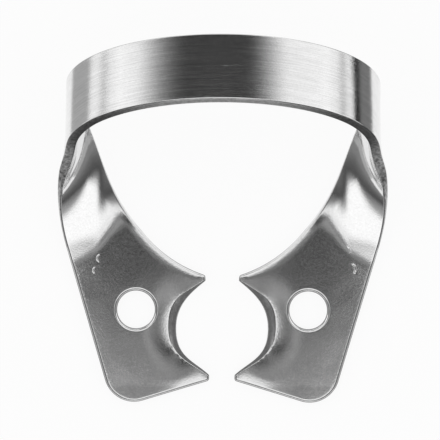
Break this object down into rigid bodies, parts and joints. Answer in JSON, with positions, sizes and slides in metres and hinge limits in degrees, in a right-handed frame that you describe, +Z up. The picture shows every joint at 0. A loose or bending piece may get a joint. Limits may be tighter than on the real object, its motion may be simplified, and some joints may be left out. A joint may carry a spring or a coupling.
{
  "type": "rubber dam clamp",
  "caption": "Sprung steel clamp that grips a tooth and holds back a rubber dam: a leaning arched bow, twisted legs, and flat pronged jaws with forceps holes.",
  "frame": {"origin": "on the axis of the gripped tooth, level with the underside of the jaws", "axes": "+Z up from the gum towards the tooth's biting edge, +Y from the tooth back towards the bow, +X across the two jaws"},
  "size_m": [0.0262, 0.0291, 0.0151],
  "materials": {
    "steel": "polished, with fine brushing along the bow"
  },
  "bodies": {
    "root": {"clamp": "steel"}
  },
  "joints": []
}
